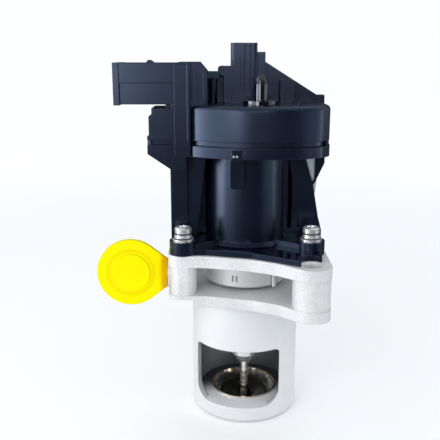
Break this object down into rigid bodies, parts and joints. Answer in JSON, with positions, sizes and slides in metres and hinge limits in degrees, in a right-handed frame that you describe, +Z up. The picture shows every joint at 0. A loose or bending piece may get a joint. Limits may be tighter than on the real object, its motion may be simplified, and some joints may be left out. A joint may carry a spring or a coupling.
{
  "type": "exhaust gas recirculation valve",
  "caption": "Motor-driven poppet valve for exhaust gas recirculation: plastic actuator on an S-shaped aluminium flange with a windowed cylindrical cage below.",
  "frame": {"origin": "on the valve axis at the flange's underside, where it meets the engine", "axes": "+Z up the valve axis to the motor, -Y towards the cage window, -X towards the electrical socket"},
  "size_m": [0.1201, 0.1054, 0.1994],
  "materials": {
    "bearing_steel": "polished",
    "black_plastic_trim": "glossy",
    "board_laminate": "satin",
    "bronze": "satin",
    "cast_aluminium": "satin",
    "contact_metal": "polished",
    "copper_winding": "satin",
    "cover_plastic": "satin",
    "housing_plastic": "glossy",
    "lamination_steel": "satin",
    "magnet": "matte",
    "plated_steel": "satin",
    "seal_rubber": "matte",
    "spring_steel": "polished",
    "stainless_steel": "polished",
    "turned_aluminium": "polished",
    "valve_steel": "polished",
    "yellow_plastic": "satin"
  },
  "bodies": {
    "base": {"valve_body": "cast_aluminium", "valve_seat": "stainless_steel", "stem_guide": "plated_steel", "stem_seal": "seal_rubber", "spring_cup": "turned_aluminium", "return_spring": "spring_steel", "locating_pin": "plated_steel", "screw_guide": "bronze", "bearing_outer_race": "bearing_steel", "bearing_balls": "bearing_steel", "upper_bushing": "bronze", "end_bracket": "plated_steel", "motor_case": "plated_steel", "stator_core": "lamination_steel", "stator_coils": "copper_winding", "motor_housing": "housing_plastic", "top_cover": "cover_plastic", "connector_terminals": "contact_metal", "cover_seal": "seal_rubber", "circuit_board": "board_laminate", "housing_screws": "plated_steel", "flat_washers": "plated_steel", "spring_washers": "plated_steel", "compression_sleeves": "plated_steel", "test_plug": "black_plastic_trim"},
    "rotor": {"rotor_hub": "black_plastic_trim", "rotor_magnet": "magnet", "sensor_magnet": "magnet", "bearing_inner_race": "bearing_steel"},
    "screw": {"lead_screw": "valve_steel"},
    "poppet": {"valve_stem": "stainless_steel", "valve_head": "valve_steel", "spring_retainer": "plated_steel", "retainer_clip": "spring_steel"},
    "plug": {"port_plug": "yellow_plastic"}
  },
  "joints": [
    {"name": "rotor_spin", "type": "hinge", "parent": "base", "child": "rotor", "pos_m": [0, 0, 0.05], "axis": [0, 0, 1], "range_deg": [0, 1200]},
    {"name": "screw_travel", "type": "slide", "parent": "base", "child": "screw", "axis": [0, 0, -1], "range_m": [0, 0.005]},
    {"name": "valve_lift", "type": "slide", "parent": "base", "child": "poppet", "axis": [0, 0, -1], "range_m": [0, 0.005], "deforming": ["return_spring"]},
    {"name": "plug_pull", "type": "slide", "parent": "base", "child": "plug", "axis": [-1, 0, 0], "range_m": [0, 0.03]}
  ],
  "couplings": [
    {"joint": "rotor_spin", "follows": "valve_lift", "rad_per_m": 4188.7},
    {"joint": "screw_travel", "follows": "valve_lift", "ratio": 1}
  ]
}
